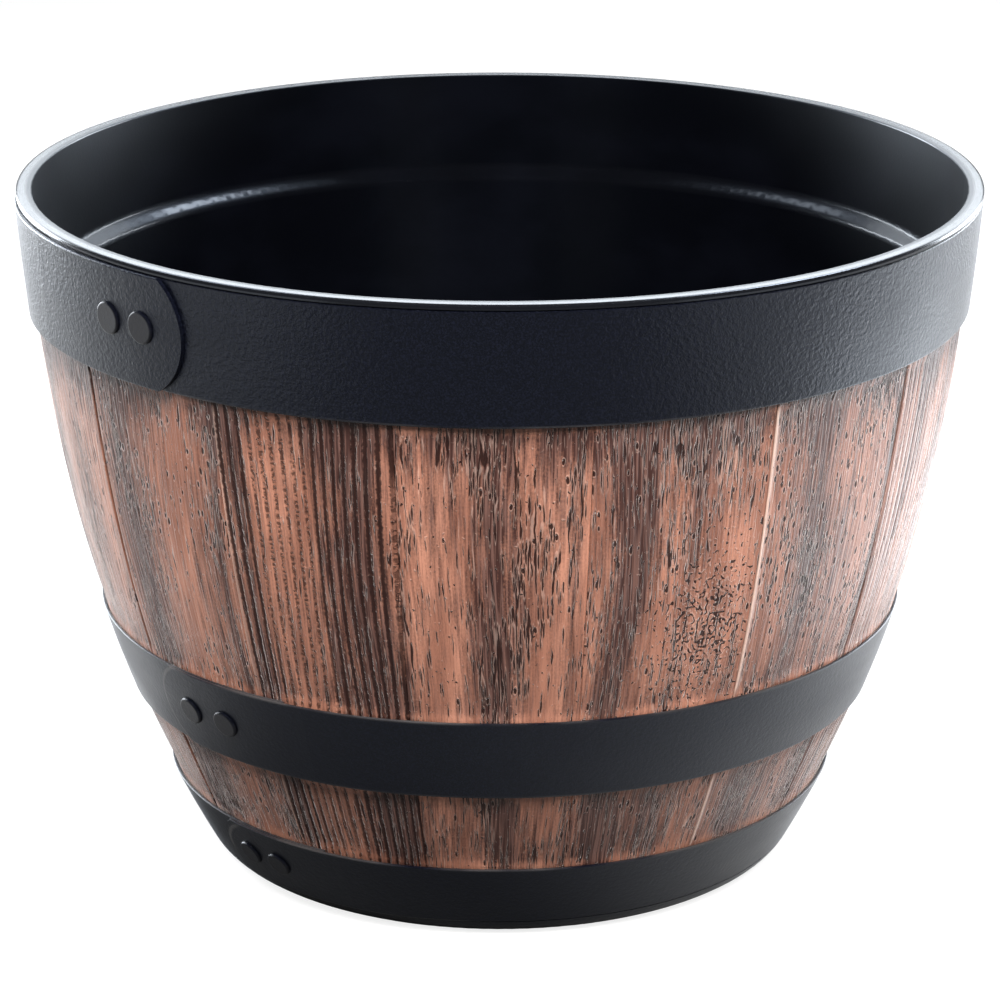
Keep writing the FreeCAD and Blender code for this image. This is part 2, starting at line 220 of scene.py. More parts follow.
# Section of a cut mark from its edge: the slope inwards, and outwards where its rim is whole, starts
# to fall and ends. In widths of a mark or radii of a dash
Section = namedtuple("Section", "slope rim fall end")
MARK_SECTION = Section(0.5, 0.4, 1.0, 1.6)
DASH_SECTION = Section(0.25, 0.2, 0.3, 0.7)

# Levels of the wood's noises, waves and glaze between which its marks grow whole
MARK_SPAN = (0.71, 0.81)
LINE_SPAN = (0.08, 0.92)
UNBROKEN_SPAN = (0.2, 0.6)
DOT_SPAN = (0.45, 0.54)
ROW_SPAN = (0.36, 0.58)
THIN_SPAN = (0.42, 0.62)
BRIGHT_SPAN = (0.35, 0.65)

# Strength of the wood's marks: of broken lines and of pores beside their rows, in how far noises break
# up the glaze, in colour, and in relief as shares of the grain's depth
LINE_OFF_DOTS = 0.32
LINE_IN_DOTS = 0.50
PORES_OFF_ROWS = 0.25
STREAKED_GLAZE = 1.9
FINGERED_GLAZE = 1.2
CLOUDED_GLAZE = 0.6
SPECKLED_GLAZE = 0.7
# Pale rims of pores: dry-brushed copper and a painted highlight of their lit edges
RIM_WEAR_AND_HIGHLIGHT = 0.20
PORE_COVER = 0.95
STREAK_RELIEF = 0.5
THIN_RELIEF = 0.25
RIM_RELIEF = 0.25
ROUGH_PORES = 0.2

# Where the floor shows in the planter's gloss, with painted shade on it right before the planter and in
# a dark wedge in front. Pairs say where it starts to show and where it is whole
GLOSS_FRONT = (-50.0 * MM, -60.0 * MM, 0.0)
GLOSS_FROM_FRONT = (60.0 * MM, 190.0 * MM)
GLOSS_BEHIND = (-280.0 * MM, 120.0 * MM)
GLOSS_LEFT_LEAN = 0.4          # how far the line that it starts at turns back on the left
GLOSS_BESIDE = (-50.0 * MM, 350.0 * MM)
GLOSS_WEDGE = 0.7              # how far the painted dark wedge in front, seen in gloss, narrows towards the planter
GLOSS_AWAY = (450.0 * MM, 600.0 * MM)
FLOOR_REACH = 6.0
FLOOR_SIDES = 96
FLOOR_WHITE = 0.82             # share of plain white in what shows of the floor
FLOOR_THROW = 0.08             # share of its colour that the floor throws back as light

# Tints of gloss and light
HOOP_GLOSS = (0.80, 0.88, 1.0, 1.0)
HOOP_SHEEN = (0.86, 0.92, 1.0, 1.0)
LINER_GLOSS = (0.72, 0.84, 1.0, 1.0)
WORLD_TINT = (0.95, 0.98, 1.0, 1.0)
COOL = (0.88, 0.94, 1.0)
SKY = (0.78, 0.87, 1.0)
NEUTRAL = (1.0, 0.98, 0.96)

# Lamps: place, aim and size, the stage's level that each takes and what share of it, its tint, and
# whether it shows in gloss
Lamp = namedtuple("Lamp", "place aim size level share tint glossy")
MIDDLE = (0.0, 0.0, HEIGHT / 2)
RIM = (0.0, 0.0, HEIGHT)
LAMPS = {
    "back": Lamp((0.0, 0.80, 0.60), RIM, (1.5, 0.42), "back", 1.0, COOL, True),
    "key": Lamp((0.55, -1.05, 1.50), MIDDLE, (0.8, 0.8), "key", 1.0, NEUTRAL, False),
    "fill": Lamp((-0.55, -1.05, 1.50), MIDDLE, (0.8, 0.8), "fill", 1.0, NEUTRAL, False),
    "low": Lamp((0.42, 0.10, 0.004), (0.40, 0.10, 1.0), (0.42, 0.5), "low", 1.0, COOL, True),
    "left_rim": Lamp((-0.85, 0.75, 0.30), MIDDLE, (0.6, 0.6), "side", 1.0, COOL, True),
    "right_rim": Lamp((0.92, 0.76, 0.30), MIDDLE, (0.6, 0.6), "side", 0.8, COOL, True),
    "left_window": Lamp((-0.45, 0.60, 1.10), RIM, (0.35, 0.35), "window", 0.3, SKY, True),
    "right_window": Lamp((0.45, 0.60, 1.10), RIM, (0.35, 0.35), "window", 1.0, SKY, True),
}

# Camera
CAMERA_PLACE = (0.0, -1.1654, 0.5020)
CAMERA_TILT = 18.63            # degrees below level
CAMERA_LENS = 138.2            # millimetres, on a 36 mm sensor


def colour_property(name, description, default):
    """A colour that a user may change."""
    return bpy.props.FloatVectorProperty(
        name=name, description=description, subtype="COLOR", size=3, min=0.0, max=1.0, default=default
    )


def length_property(name, description, default):
    """A length that a user may change."""
    return bpy.props.FloatProperty(
        name=name, description=description, unit="LENGTH", precision=5, min=0.0, default=default
    )


def share_property(name, description, default):
    """A share from 0 to 1 that a user may change."""
    return bpy.props.FloatProperty(
        name=name, description=description, subtype="FACTOR", min=0.0, max=1.0, default=default
    )


def power_property(name, description, default):
    """A lamp's power that a user may change."""
    return bpy.props.FloatProperty(
        name=name, description=description, unit="POWER", min=0.0, default=default
    )


class PlanterWood(bpy.types.PropertyGroup):
    """Colours and relief of the staves."""

    copper: colour_property("Copper", "Dry-brushed high parts of the grain", (0.470, 0.216, 0.145))
    dull_copper: colour_property("Dull copper", "Where it is thinly brushed", (0.300, 0.130, 0.086))
    glaze: colour_property("Glaze", "Dark bands", (0.044, 0.0185, 0.0150))
    thin_glaze: colour_property("Thin glaze", "Streaks in the dark bands", (0.140, 0.072, 0.058))
    pore: colour_property("Pores", "Pits and cut lines of the grain", (0.018, 0.0062, 0.0048))
    stain: colour_property("Stain", "Down in the grooved seams", (0.070, 0.026, 0.017))
    # Paler seam ridges and pore rims: dry-brushed copper and painted highlight
    wear_and_highlight: colour_property("Worn edge", "Proud seams and rims of pores", (0.70, 0.52, 0.44))
    line_pitch: length_property("Line pitch", "Between the ruled grain lines", 3.6 * MM)
    line_depth: length_property("Line depth", "Depth of the ruled grain lines", 0.22 * MM)
    swell: length_property("Swell", "Broad unevenness of the moulded boards", 0.20 * MM)
    seam_bevel: length_property("Seam bevel", "On both outer long edges of a stave", 0.25 * MM)
    roughness: share_property("Roughness", "Of the copper", 0.34)
    sheen: share_property("Sheen", "Pale bloom where the wood turns away", 0.50)


class PlanterHoops(bpy.types.PropertyGroup):
    """Colours and texture of the hoops and rivets."""

    paint: colour_property("Charcoal", "Colour of the straps", (0.0016, 0.0019, 0.0038))
    # Painted highlight: the edge colour lightens the straps along their edges and round the lower hoops'
    # tabs
    edge: colour_property("Rubbed edge", "Colour along the rubbed edges", (0.060, 0.056, 0.055))
    edge_width: length_property("Edge width", "How far the edges are rubbed", 1.0 * MM)
    highlight_cover: share_property("Edge cover", "How strongly the edges are rubbed", 0.6)
    pebble: length_property("Pebble size", "Of the moulded texture", 1.3 * MM)
    pore: length_property("Pore size", "Of the fine texture between the pebbles", 0.52 * MM)
    pebble_depth: length_property("Pebble depth", "Depth of the moulded texture", 0.22 * MM)
    roughness: share_property("Roughness", "Of the straps", 0.36)
    rivet_roughness: share_property("Rivet roughness", "Of the rivets, at the least", 0.30)


class PlanterLiner(bpy.types.PropertyGroup):
    """Colours of the liner, its plug and the bottom head."""

    liner: colour_property("Liner", "Colour of the pot inside", (0.0007, 0.0008, 0.0014))
    lip: colour_property("Lip", "Outside of the pot's lip", (0.0040, 0.0043, 0.0056))
    plug: colour_property("Plug", "Colour of the rubber plug", (0.018, 0.017, 0.017))
    head: colour_property("Head", "Colour of the bottom head", (0.020, 0.020, 0.022))
    wall_roughness: share_property("Wall roughness", "Of the pot's wall", 0.42)
    lip_polish: share_property("Lip polish", "How much less rough the lip is", 0.24)
    plug_roughness: share_property("Plug roughness", "Of the plug, at the least", 0.65)
    head_roughness: share_property("Head roughness", "Of the bottom head, at the least", 0.40)


class PlanterStage(bpy.types.PropertyGroup):
    """Light and floor."""

    floor: colour_property("Floor", "Colour of the studio floor", (0.90, 0.90, 0.90))
    world: share_property("World", "Level of the light from all round", 0.09)
    key: power_property("Key light", "Soft light high in front on the right", 68.0)
    fill: power_property("Fill light", "Soft light high in front on the left", 52.0)
    low: power_property("Low light", "Soft light on the floor on the right", 2.2)
    back: power_property("Back light", "Broad light behind", 8.5)
    side: power_property("Side light", "Low behind on each side, dimmer on the right", 28.0)
    window: power_property("Window light", "High behind on each side, dimmer on the left", 10.0)


def solid(colour):
    """A colour with full cover."""
    return (*colour, 1.0)


def toned(colour, times):
    """A colour made brighter or darker, with full cover."""
    return solid(times * part for part in colour)


class Finish:
    """A material whose nodes are added by short calls."""

    def __init__(self, name):
        self.material = bpy.data.materials.new(name)
        self.material.use_nodes = True
        self.tree = self.material.node_tree
        self.shader = self.tree.nodes["Principled BSDF"]

    def feed(self, socket, value):
        """Links a socket to another one, or sets its own value."""
        if isinstance(value, bpy.types.NodeSocket):
            self.tree.links.new(value, socket)
        else:
            socket.default_value = value

    def node(self, kind, inputs, **settings):
        """A new node, with its settings and its inputs by name or number."""
        made = self.tree.nodes.new("ShaderNode" + kind)
        for setting, value in settings.items():
            setattr(made, setting, value)
        for socket, value in inputs.items():
            self.feed(made.inputs[socket], value)
        return made

    def math(self, operation, *values):
        """Arithmetic on numbers."""
        return self.node("Math", dict(enumerate(values)), operation=operation).outputs[0]

    def product(self, first, *others):
        """Numbers multiplied together."""
        for other in others:
            first = self.math("MULTIPLY", first, other)
        return first

    def most(self, first, *others):
        """The greatest of several numbers."""
        for other in others:
            first = self.math("MAXIMUM", first, other)
        return first

    def add_share(self, level, share, value):
        """A level with a share of a value added to it."""
        return self.math("MULTIPLY_ADD", value, share, level)

    def uneven(self, level, share, noise):
        """A level raised and lowered by a share of a noise round 0.5."""
        return self.add_share(level, share, self.math("SUBTRACT", noise, 0.5))

    def vector(self, operation, *values):
        """Arithmetic on places."""
        made = self.node("VectorMath", dict(enumerate(values)), operation=operation)
        return made.outputs["Value" if operation in ("LENGTH", "DOT_PRODUCT") else "Vector"]

    def axes(self, place):
        """The X, Y and Z of a place."""
        return self.node("SeparateXYZ", {0: place}).outputs

    def rise(self, value, low, high):
        """0 below low, 1 above high, smooth between. low may be the larger."""
        inputs = {"Value": value, "From Min": low, "From Max": high}
        return self.node("MapRange", inputs, interpolation_type="SMOOTHSTEP").outputs["Result"]

    def mix(self, share, first, second):
        """A colour between two."""
        made = self.node("Mix", {}, data_type="RGBA")
        values = {"Factor_Float": share, "A_Color": first, "B_Color": second}
        for socket in made.inputs:
            if socket.identifier in values:
                self.feed(socket, values[socket.identifier])
        return next(socket for socket in made.outputs if socket.identifier == "Result_Color")

    def paler(self, value, low, high, colour, times):
        """A colour that grows some times as bright while a value rises from low to high."""
        return self.mix(self.rise(value, low, high), solid(colour), toned(colour, times))

    def mask(self, name):
        """A number stored at the mesh's points."""
        return self.node("Attribute", {}, attribute_name=name).outputs["Fac"]

    def place(self):
        """Where a point is on its object, in metres."""
        return self.node("TexCoord", {}).outputs["Object"]

    def scaled(self, place, sizes):
        """A place counted in the given sizes."""
        return self.vector("MULTIPLY", place, tuple(1 / size for size in sizes))

    def noise(self, place, sizes, detail=2.0):
        """Cloudy numbers round 0.5, whose lumps have the given sizes."""
        inputs = {"Vector": self.scaled(place, sizes), "Scale": 1.0, "Detail": detail}
        return self.node("TexNoise", inputs).outputs[0]

    def even_noise(self, place, size, detail=2.0):
        """The same, with lumps as long as they are wide."""
        return self.noise(place, (size, size, size), detail)

    def grain_noise(self, place, size, detail=2.0):
        """The same on a stave's grain, with a size across and along it in millimetres."""
        return self.noise(place, (*size, 1.0), detail)

    def bump(self, height, depth):
        """Shades a relief of the given depth."""
        inputs = {"Height": height, "Distance": depth, "Strength": 1.0}
        self.feed(self.shader.inputs["Normal"], self.node("Bump", inputs).outputs[0])

    def set(self, **inputs):
        """Sets or links the shader's inputs, by names with spaces written as underscores."""
        for name, value in inputs.items():
            self.feed(self.shader.inputs[name.replace("_", " ")], value)


def barrel_radius(height):
    """Outer radius of the staves at a height."""
    share = height / HEIGHT
    low_slope = HEIGHT * math.tan(FLOOR_FLARE)
    high_slope = HEIGHT * math.tan(CREST_FLARE)
    rise = CREST_RADIUS - FLOOR_RADIUS
    square = 3 * rise - 2 * low_slope - high_slope
    cube = low_slope + high_slope - 2 * rise
    return FLOOR_RADIUS + share * (low_slope + share * (square + share * cube))


def round_barrel(radius, turn, height):
    """Points from radii, angles in radians from the front, and heights."""
    radius, turn, height = np.broadcast_arrays(radius, turn, height)
    return np.stack([radius * np.sin(turn), -radius * np.cos(turn), height], axis=-1)


def steps(low, high, size):
    """Evenly spaced numbers from low up to, but without, high."""
    count = max(1, round((high - low) / size))
    return np.linspace(low, high, count, endpoint=False)


def ripple(generator, across, along, waves):
    """A smooth random field round 0, made of a few waves."""
    total = 0.0
    for _ in range(WAVE_COUNT):
        bend = generator.uniform(-WAVE_RANGE, WAVE_RANGE) / waves.across
        run = generator.uniform(-WAVE_RANGE, WAVE_RANGE) / waves.along
        phase = generator.uniform(0, 1)
        total = total + np.sin(2 * math.pi * (bend * across + run * along + phase))
    return waves.strength * total / math.sqrt(WAVE_COUNT)


def fade(distance, size):
    """1 at no distance, falling smoothly towards 0."""
    return np.exp(-np.square(distance / size))


def near_hoop(height, size):
    """1 at the edge of a hoop, falling towards 0 away from it."""
    edges = (TOP_HOOP[0], MIDDLE_HOOP[0], MIDDLE_HOOP[1], BASE_HOOP[1])
    return np.max([fade(height - edge, size) for edge in edges], axis=0)


def shown(height):
    """1 between the hoops, 0 at and behind them."""
    covered = np.zeros_like(height)
    for low, high in HOOPS:
        inside = np.clip(np.minimum(height - low, high - height) / RELIEF_FADE + 1, 0, 1)
        covered = np.maximum(covered, inside)
    return 1 - covered


def stave_rows():
    """Heights of the outer rows of a stave's mesh."""
    base_high = BASE_HOOP[1] - TUCK
    middle_low = MIDDLE_HOOP[0] + TUCK
    middle_high = MIDDLE_HOOP[1] - TUCK
    top_low = TOP_HOOP[0] + TUCK
    return np.concatenate([
        [STAVE_FOOT],
        steps(STAVE_FOOT + FOOT_BEVEL, base_high, COARSE_STEP),
        steps(base_high, middle_low, FINE_STEP),
        steps(middle_low, middle_high, COARSE_STEP),
        steps(middle_high, top_low, FINE_STEP),
        steps(top_low, STAVE_TOP, COARSE_STEP),
        [STAVE_TOP],
    ])


def inner_outline():
    """Offsets from the barrel curve and heights, from a stave's top down its inside."""
    tongue = [(-TONGUE_THICKNESS, STAVE_TOP), (-TONGUE_THICKNESS, RABBET_HEIGHT)]
    board = [(-STAVE_THICKNESS, height) for height in steps(RABBET_HEIGHT, GROOVE_TOP, -INNER_STEP)]
    bottom = GROOVE_DEPTH - STAVE_THICKNESS
    groove = [(-STAVE_THICKNESS, GROOVE_TOP), (bottom, GROOVE_TOP), (bottom, GROOVE_LOW)]
    foot = [(-STAVE_THICKNESS, GROOVE_LOW), (-STAVE_THICKNESS, STAVE_FOOT)]
    return np.array(tongue + board + groove + foot)


def stave_glaze(board, across, height, drift, clouds):
    """How dark a stave's outside is glazed, with painted shade under the top hoop, above the middle hoop
    and below it.
    """
    glaze = GLAZE_ALL_OVER + GLAZE_IN_CLOUDS * clouds
    for place, spread, strength in board.glaze:
        glaze = glaze + strength * fade(across + drift - place, spread)
    # Painted shade under the top hoop, with glaze
    under_top = np.clip(TOP_HOOP[0] - height, 0, None)
    glaze = glaze + (GLAZE_AND_SHADE_UNDER_TOP + GLAZE_AND_SHADE_CLOUDS_UNDER_TOP * clouds) * fade(under_top, UNDER_TOP_REACH)
    # Painted shade above the middle hoop
    glaze = glaze + SHADE_ABOVE_MIDDLE * fade(height - MIDDLE_HOOP[1], ABOVE_MIDDLE_REACH)
    # Darker below the middle hoop: glaze and painted shade where the wood turns down from the light
    glaze = glaze + GLAZE_AND_SHADE_BELOW_MIDDLE * (height < MIDDLE_HOOP[0])
    return glaze - GLAZE_RUBBED_OFF * near_hoop(height, RUBBED_REACH)


def in_patches(patches, least):
    """1 in the patches, down to the least share outside them."""
    return least + (1 - least) * patches


def seam_rise(inward, rise, width):
    """A rise at a stave's left edge that falls to 0 over a width inward from it."""
    return np.square(1 - np.clip(inward / width, 0, 1)) * rise


def stave_figure(number, across, height, wood):
    """Grain, masks and relief of a stave's outside, at places across in half widths and at heights."""
    board = BOARDS[number - 1]
    generator = np.random.default_rng(number)
    half_width = math.pi * CREST_RADIUS / STAVE_COUNT
    side = across * half_width
    grain = side + ripple(generator, side, height, GRAIN_WANDER)
    drift = ripple(generator, side, height, BAND_DRIFT)
    clouds = ripple(generator, side, height, GLAZE_CLOUDS)
    patches = np.clip(0.5 + ripple(generator, side, height, PORE_PATCHES), 0, 1)
    swell = ripple(generator, side, height, BROAD_SWELL) - 1

    glaze = stave_glaze(board, across, height, drift, clouds)
    burl = board.burl * fade(across - BURL_PLACE[0], BURL_SPREAD[0])
    burl = burl * fade(height - BURL_PLACE[1], BURL_SPREAD[1])
    pores = board.pores * in_patches(patches, PORES_OFF_PATCHES)
    pores = pores + PORES_IN_GLAZE * np.clip(glaze, 0, 1) - PORES_LOST_IN_BURL * burl

    wave = np.sin(2 * math.pi * grain / wood.line_pitch)
    relief = wood.swell * swell - board.lines * wood.line_depth * np.clip(wave, *LINE_FORM)
    inward = (across + 1) * half_width
    ridge = seam_rise(inward, RIDGED.get(number, 0.0), RIDGE_WIDTH)
    groove = seam_rise(inward, GROOVED.get(number, 0.0), GROOVE_WIDTH)
    relief = np.minimum(relief, 0) - FLATNESS * (1 - np.square(across)) + ridge - groove

    masks = {
        "glaze": glaze,
        "lines": np.full_like(across, board.lines),
        "pores": pores,
        "burl": burl,
        "spots": board.spots * in_patches(patches, SPOTS_OFF_PATCHES),
        # Proud seam ridges painted paler: wear and painted highlight
        "wear_and_highlight": SEAM_SHOW * ridge / RIDGE_WIDTH * shown(height),
        "stain": SEAM_SHOW * groove / GROOVE_WIDTH,
    }
    return grain, masks, relief * shown(height)


def point_numbers(points, first):
    """Numbers of a grid's points, counted from the first."""
    return first + np.arange(points[..., 0].size).reshape(points.shape[:2])


def grid_faces(index):
    """Four-cornered faces of a grid of point numbers."""
    corners = (index[:-1, :-1], index[:-1, 1:], index[1:, 1:], index[1:, :-1])
    return np.stack([corner.ravel() for corner in corners], axis=1).tolist()


def stave_faces(outer, inner):
    """Faces of a closed stave: its long sides, top, foot, outside and inside."""
    rims = [
        (*outer[:, 0], *inner[:, 0]),
        (*outer[:, -1], *inner[:, -1]),
        (*outer[-1], *inner[0, ::-1]),
        (*outer[0], *inner[-1, ::-1]),
    ]
    return rims + grid_faces(outer) + grid_faces(inner)


def stave_outside(number, wood, centre, half):
    """Points, grain and masks of a stave's outside, from its middle angle and half its angle."""
    rows = stave_rows()[:, None]
    radius = barrel_radius(rows)
    flat = np.linspace(-1, 1, COLUMNS)[None, :]
    across = np.concatenate([[[-1.0]], flat, [[1.0]]], axis=1) + 0 * rows
    height = rows + 0 * across
    grain, masks, relief = stave_figure(number, across, height, wood)
    turn = across * (half - wood.seam_bevel / radius)
    turn[:, [0, -1]] = (-half, half)
    relief[:, [0, -1]] -= wood.seam_bevel
    relief[0, :] -= FOOT_BEVEL
    return round_barrel(radius + relief, centre + turn, height), grain, masks


def stave_inside(centre, half):
    """Points and grain of a stave's inside."""
    inset, height = np.hsplit(inner_outline(), 2)
    turn = np.linspace(-half, half, INNER_COLUMNS)[None, :]
    radius = barrel_radius(height) + inset
    return round_barrel(radius, centre + turn, height), turn * radius


def make_stave(number, wood, finish):
    """One stave with its own grain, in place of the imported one."""
    centre = math.radians(FRONT_STAVE_ANGLE + (number - 1) * 360 / STAVE_COUNT)
    half = math.pi / STAVE_COUNT - SEAM_GAP / CREST_RADIUS / 2
    outside, grain, masks = stave_outside(number, wood, centre, half)
    inside, inner_grain = stave_inside(centre, half)
    outer_index = point_numbers(outside, 0)
    inner_index = point_numbers(inside, outer_index.size)
    points = np.concatenate([outside.reshape(-1, 3), inside.reshape(-1, 3)])
    mesh = bpy.data.meshes.new(f"moulded_stave_{number:02d}")
    mesh.from_pydata(points.tolist(), [], stave_faces(outer_index, inner_index))
    turn_normals_out(mesh)
    mesh.shade_smooth()
    mesh.set_sharp_from_angle(angle=SHARP_ANGLE)
    for name, values in masks.items():
        masks[name] = np.append(values, np.full(inner_grain.size, BARE_INSIDE.get(name, 0.0)))
    store_figure(mesh, number, np.append(grain, inner_grain), points[:, 2], masks)
    mesh.materials.append(finish)
    stave = bpy.data.objects.new(mesh.name, mesh)
    bpy.context.collection.objects.link(stave)
    return stave


def turn_normals_out(mesh):
    """Makes all faces of a closed mesh face outwards."""
    work = bmesh.new()
    work.from_mesh(mesh)
    bmesh.ops.recalc_face_normals(work, faces=work.faces)
    work.to_mesh(mesh)
    work.free()


def store_figure(mesh, number, grain, height, masks):
    """Keeps a stave's grain coordinates, in millimetres, and its masks at the mesh's points."""
    apart = np.full_like(grain, FIGURE_APART * number)
    place = np.stack([grain / MM, height / MM, apart], axis=1)
    layer = mesh.attributes.new("grain", "FLOAT_VECTOR", "POINT")
    layer.data.foreach_set("vector", place.ravel())
    for name, values in masks.items():
        layer = mesh.attributes.new(name, "FLOAT", "POINT")
        layer.data.foreach_set("value", np.clip(values, 0, MASK_LIMIT))


def cut_section(finish, outside, section):
    """The pit inside a mark's edge and the rim outside it, from how far outside the edge a place is."""
    pit = finish.rise(outside, 0.0, -section.slope)
    inner_side = finish.rise(outside, 0.0, section.rim)
    outer_side = finish.rise(outside, section.end, section.fall)
    return pit, finish.product(inner_side, outer_side)


def cut_marks(finish, place, marks, share):
    """Thin wavy marks along a noise's contours, broken into more or fewer by a share, and their rims."""
    gaps = finish.grain_noise(place, marks.gap, GAP_DETAIL)
    kept = finish.rise(finish.add_share(gaps, FILLED_GAPS, share), *MARK_SPAN)
    contour = finish.math("SUBTRACT", finish.grain_noise(place, marks.wave, WAVE_DETAIL), 0.5)
    away = finish.math("DIVIDE", finish.math("ABSOLUTE", contour), marks.width)
    pit, rim = cut_section(finish, finish.math("SUBTRACT", away, kept), MARK_SECTION)
    return pit, finish.product(rim, kept)


def cut_dashes(finish, place, cell, share):
    """Narrow upright dashes scattered one to a cell, as many as a share keeps, and their rims."""
    inputs = {"Vector": finish.scaled(place, (*cell, 1.0)), "Scale": 1.0}
    scatter = finish.node("TexVoronoi", inputs, voronoi_dimensions="2D").outputs
    chance = finish.node("SeparateColor", {0: scatter["Color"]}).outputs
    kept = finish.math("LESS_THAN", chance["Red"], share)
    radius = finish.add_share(*DASH_RADIUS, chance["Green"])
    away = finish.math("DIVIDE", scatter["Distance"], radius)
    pit, rim = cut_section(finish, finish.math("SUBTRACT", away, 1.0), DASH_SECTION)
    return finish.product(pit, kept), finish.product(rim, kept)


def ruled_lines(finish, place, glaze, wood):
    """Ruled lines of the grain, broken into dots where the copper is bright."""
    jagged = finish.add_share(finish.axes(place)["X"], JAG_REACH, finish.grain_noise(place, JAGS))
    turns = finish.product(jagged, 2 * math.pi / (wood.line_pitch / MM))
    line = finish.rise(finish.math("SINE", turns), *LINE_SPAN)
    dots = finish.rise(finish.grain_noise(place, DOTS), *DOT_SPAN)
    dotted = finish.add_share(LINE_OFF_DOTS, LINE_IN_DOTS, dots)
    unbroken = finish.rise(glaze, *UNBROKEN_SPAN)
    return finish.product(line, finish.most(dotted, unbroken), finish.mask("lines"))


def wood_pores(finish, place, wear_and_highlight):
    """Pits and rims of all pores: long marks and dashes in rows, spots, and the burl's short curls."""
    shiver = finish.product(finish.grain_noise(place, SHIVER), SHIVER_REACH)
    apart = finish.add_share(shiver, PORE_SHIFT, finish.axes(place)["Z"])
    bent = finish.vector("ADD", place, finish.node("CombineXYZ", {"X": apart}).outputs[0])
    rows = finish.rise(finish.grain_noise(place, PORE_ROWS), *ROW_SPAN)
    in_rows = finish.add_share(PORES_OFF_ROWS, 1 - PORES_OFF_ROWS, rows)
    density = finish.product(finish.mask("pores"), in_rows)
    density = finish.math("MINIMUM", finish.math("SUBTRACT", density, wear_and_highlight), MOST_PORES)
    spotted = finish.math("SUBTRACT", finish.mask("spots"), wear_and_highlight)
    curled = finish.product(finish.mask("burl"), MOST_CURLS)
    pits, rims = zip(
        cut_marks(finish, bent, LONG_MARKS, density),
        cut_dashes(finish, bent, DASH_CELL, density),
        cut_dashes(finish, bent, SPOT_CELL, spotted),
        cut_marks(finish, place, CURLS, curled),
    )
    return finish.most(*pits), finish.most(*rims)


def stave_wood(wood):
    """Moulded wood: copper brushed over a dark glaze, with ruled lines, pores and burl."""
    finish = Finish("stave_wood")
    place = finish.node("Attribute", {}, attribute_name="grain").outputs["Vector"]
    glaze = finish.mask("glaze")
    wear_and_highlight = finish.mask("wear_and_highlight")
    streaks = finish.grain_noise(place, STREAKS, detail=3.0)
    clouds = finish.grain_noise(place, CLOUDS)
    thin = finish.rise(finish.grain_noise(place, THIN_STREAKS), *THIN_SPAN)
    pit, rim = wood_pores(finish, place, wear_and_highlight)
    recess = finish.most(pit, ruled_lines(finish, place, glaze, wood))

    dark = finish.uneven(glaze, STREAKED_GLAZE, streaks)
    dark = finish.uneven(dark, FINGERED_GLAZE, finish.grain_noise(place, FINGERS))
    dark = finish.uneven(dark, CLOUDED_GLAZE, clouds)
    dark = finish.uneven(dark, SPECKLED_GLAZE, finish.grain_noise(place, SPECKLE, detail=1.0))
    dark = finish.node("Clamp", {"Value": dark}).outputs[0]
    bright = finish.rise(clouds, *BRIGHT_SPAN)
    colour = finish.mix(bright, solid(wood.dull_copper), solid(wood.copper))
    bands = finish.mix(thin, solid(wood.glaze), solid(wood.thin_glaze))
    colour = finish.mix(dark, colour, bands)
    colour = finish.mix(finish.mask("stain"), colour, solid(wood.stain))
    # Rims of pores and proud seam ridges painted paler: dry-brushed copper and painted highlight
    rubbed = finish.most(finish.product(rim, RIM_WEAR_AND_HIGHLIGHT), wear_and_highlight)
    colour = finish.mix(rubbed, colour, solid(wood.wear_and_highlight))
    colour = finish.mix(finish.product(recess, PORE_COVER), colour, solid(wood.pore))

    height = finish.product(streaks, STREAK_RELIEF)
    height = finish.add_share(height, THIN_RELIEF, thin)
    height = finish.add_share(height, RIM_RELIEF, rim)
    finish.bump(finish.math("SUBTRACT", height, recess), GRAIN_DEPTH)
    roughness = finish.add_share(wood.roughness, ROUGH_PORES, recess)
    finish.set(Base_Color=colour, Roughness=roughness, IOR=1.36)
    finish.set(Sheen_Weight=wood.sheen, Sheen_Roughness=0.10)
    return finish.material


def edge_band(finish, height, edges, spread):
    """1 at the heights of the edges, falling to 0 above and below them."""
    total = 0.0
    for edge in edges:
        away = finish.math("ABSOLUTE", finish.math("SUBTRACT", height, edge))
        total = finish.most(total, finish.rise(away, spread, 0.0))
    return total


def tab_highlight(finish, place, hoop):
    """1 along the round end of a lower hoop's tab, where a highlight is painted, falling to 0 beside it.
    """
    height = sum(hoop) / 2
    radius = TAB_ROUND * (hoop[1] - hoop[0]) / 2
    turn = math.radians(LOWER_TAB_TIP) + radius / barrel_radius(height)
    centre = round_barrel(barrel_radius(height), turn, height)
    from_centre = finish.vector("SUBTRACT", place, tuple(centre))
    away = finish.math("SUBTRACT", finish.vector("LENGTH", from_centre), radius)
    along = finish.vector("DOT_PRODUCT", from_centre, (-math.cos(turn), -math.sin(turn), 0.0))
    near = finish.rise(finish.math("ABSOLUTE", away), *TAB_HIGHLIGHT)
    return finish.product(near, finish.rise(along, *(share * radius for share in TAB_END)))


